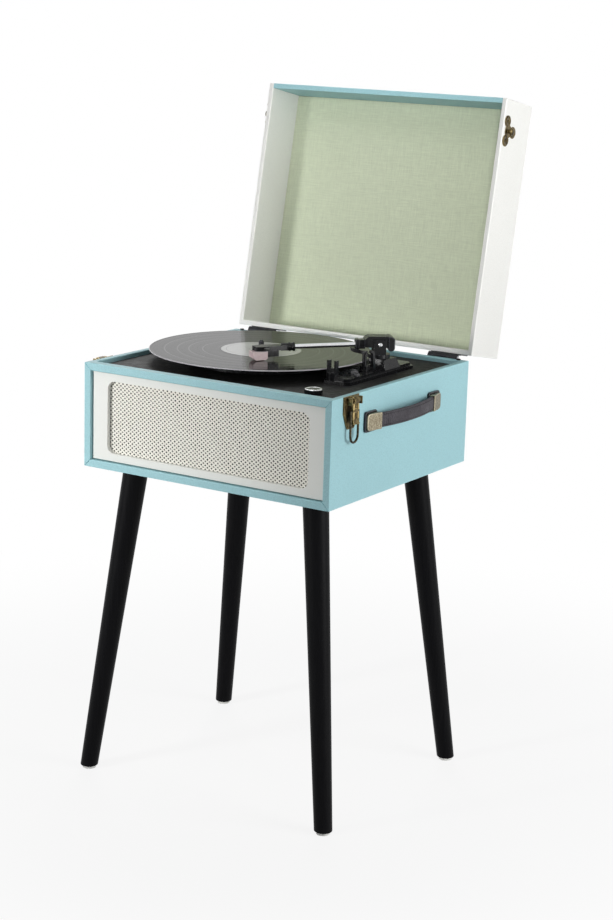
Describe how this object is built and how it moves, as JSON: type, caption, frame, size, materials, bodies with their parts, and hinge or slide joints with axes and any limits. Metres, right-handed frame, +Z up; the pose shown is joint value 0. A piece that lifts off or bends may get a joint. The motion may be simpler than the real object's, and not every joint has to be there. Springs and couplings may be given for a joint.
{
  "type": "suitcase record player on legs",
  "caption": "Leatherette suitcase record player on splayed legs, with hinged lid, belt-driven platter, tonearm, volume knob, grille, draw latches and carry handle.",
  "frame": {"origin": "middle of the whole object's outline on the floor, with the lid open", "axes": "+Z up from the floor, the front with the grille faces -Y, +X to the right with the handle"},
  "size_m": [0.413, 0.5002, 0.9193],
  "materials": {
    "teal_vinyl": "satin leatherette wrap",
    "cream_vinyl": "satin leatherette wrap",
    "black_leatherette": "grained leatherette wrap",
    "strap_leather": "grained leather",
    "panel_paint": "satin paint on board",
    "raw_board": "raw fibreboard",
    "leg_lacquer": "satin black lacquer",
    "grille_weave": "coarse weave",
    "lining_linen": "plain linen weave",
    "label_paper": "coated paper",
    "mat_felt": "felt",
    "record_vinyl": "gloss, fine grooves",
    "black_plastic": "fine satin",
    "grey_plastic": "satin",
    "white_plastic": "satin",
    "clear_pink": "clear tinted",
    "speaker_cone": "paper cone",
    "circuit": "solder mask",
    "belt_rubber": "matte",
    "bumper_rubber": "matte",
    "silver": "polished",
    "steel": "brushed",
    "black_steel": "satin black",
    "antique_brass": "darkened antique",
    "bearing_brass": "turned"
  },
  "bodies": {
    "case": {"case_shell": "teal_vinyl", "front_frame": "teal_vinyl", "bottom_board": "raw_board", "deck_cleats": "raw_board", "deck_board": "black_leatherette", "front_panel": "panel_paint", "grille_cloth": "grille_weave", "speaker_baffle": "raw_board", "speaker_baskets": "steel", "speaker_cones": "speaker_cone", "bearing_bush": "bearing_brass", "motor": "steel", "drive_belt": "belt_rubber", "tonearm_plate": "black_plastic", "volume_pot": "steel", "lid_bumpers": "bumper_rubber", "hinge_case_leaves": "black_steel", "hinge_pins": "steel", "latch_plates": "antique_brass", "handle_brackets": "black_plastic", "handle_caps": "antique_brass", "handle_strap": "strap_leather", "leg_front_left": "leg_lacquer", "leg_front_right": "leg_lacquer", "leg_rear_right": "leg_lacquer", "leg_rear_left": "leg_lacquer", "leg_mounts": "steel", "leg_bolts": "steel", "leg_screws": "steel", "leg_glides": "white_plastic", "rear_panel": "black_plastic", "rear_sockets": "silver", "circuit_board": "circuit"},
    "lid": {"lid_shell": "cream_vinyl", "lid_front_wall": "teal_vinyl", "lid_lining": "lining_linen", "hinge_lid_leaves": "black_steel", "lid_strikes": "antique_brass"},
    "turntable": {"platter": "black_plastic", "platter_mat": "mat_felt", "spindle": "silver", "record": "record_vinyl", "record_label": "label_paper"},
    "motor_rotor": {"motor_pulley": "bearing_brass"},
    "arm_swivel": {"arm_turret": "black_plastic"},
    "arm": {"arm_block": "black_plastic", "counterweight": "black_plastic", "arm_tube": "silver", "headshell": "black_plastic", "cartridge": "black_plastic", "stylus_guard": "clear_pink"},
    "cue_lever": {"cue_lever": "black_plastic"},
    "lift_bar": {"lift_bar": "black_plastic"},
    "speed_switch": {"speed_switch": "grey_plastic"},
    "stop_switch": {"stop_switch": "grey_plastic"},
    "volume_knob": {"volume_knob": "silver"},
    "left_latch_lever": {"left_latch_lever": "antique_brass"},
    "right_latch_lever": {"right_latch_lever": "antique_brass"},
    "left_latch_bail": {"left_latch_bail": "antique_brass"},
    "right_latch_bail": {"right_latch_bail": "antique_brass"}
  },
  "joints": [
    {"name": "lid_hinge", "type": "hinge", "parent": "case", "child": "lid", "pos_m": [-0.0035, 0.10486, 0.571], "axis": [1, 0, 0], "range_deg": [0, 101]},
    {"name": "platter_spin", "type": "hinge", "parent": "case", "child": "turntable", "pos_m": [-0.0365, -0.07114, 0.564], "axis": [0, 0, 1], "continuous": true},
    {"name": "motor_spin", "type": "hinge", "parent": "case", "child": "motor_rotor", "pos_m": [-0.09165, -0.01599, 0.564], "axis": [0, 0, 1], "continuous": true},
    {"name": "arm_swing", "type": "hinge", "parent": "case", "child": "arm_swivel", "pos_m": [0.1205, -0.02714, 0.603], "axis": [0, 0, 1], "range_deg": [-8, 47]},
    {"name": "arm_lift", "type": "hinge", "parent": "arm_swivel", "child": "arm", "pos_m": [0.1205, -0.02714, 0.603], "axis": [-0.6293, 0.7771, 0], "range_deg": [0, 12]},
    {"name": "cue_turn", "type": "hinge", "parent": "case", "child": "cue_lever", "pos_m": [0.1365, -0.07114, 0.579], "axis": [-1, 0, 0], "range_deg": [0, 60]},
    {"name": "lift_rise", "type": "slide", "parent": "case", "child": "lift_bar", "axis": [0, 0, 1], "range_m": [0, 0.0076]},
    {"name": "speed_slide", "type": "slide", "parent": "case", "child": "speed_switch", "axis": [0, 1, 0], "range_m": [0, 0.012]},
    {"name": "stop_slide", "type": "slide", "parent": "case", "child": "stop_switch", "axis": [0, 1, 0], "range_m": [0, 0.006]},
    {"name": "volume_turn", "type": "hinge", "parent": "case", "child": "volume_knob", "pos_m": [0.1365, -0.21114, 0.564], "axis": [0, 0, -1], "range_deg": [0, 300]},
    {"name": "left_lever_turn", "type": "hinge", "parent": "case", "child": "left_latch_lever", "pos_m": [-0.202, -0.20714, 0.5655], "axis": [0, 1, 0], "range_deg": [0, 80]},
    {"name": "right_lever_turn", "type": "hinge", "parent": "case", "child": "right_latch_lever", "pos_m": [0.195, -0.20714, 0.5655], "axis": [0, -1, 0], "range_deg": [0, 80]},
    {"name": "left_bail_turn", "type": "hinge", "parent": "left_latch_lever", "child": "left_latch_bail", "pos_m": [-0.202, -0.20714, 0.552], "axis": [0, 1, 0], "range_deg": [0, 122]},
    {"name": "right_bail_turn", "type": "hinge", "parent": "right_latch_lever", "child": "right_latch_bail", "pos_m": [0.195, -0.20714, 0.552], "axis": [0, -1, 0], "range_deg": [0, 122]}
  ],
  "couplings": [
    {"joint": "motor_spin", "follows": "platter_spin", "ratio": 12.2},
    {"joint": "cue_turn", "follows": "arm_lift", "ratio": 5},
    {"joint": "lift_rise", "follows": "arm_lift", "m_per_rad": 0.036}
  ]
}
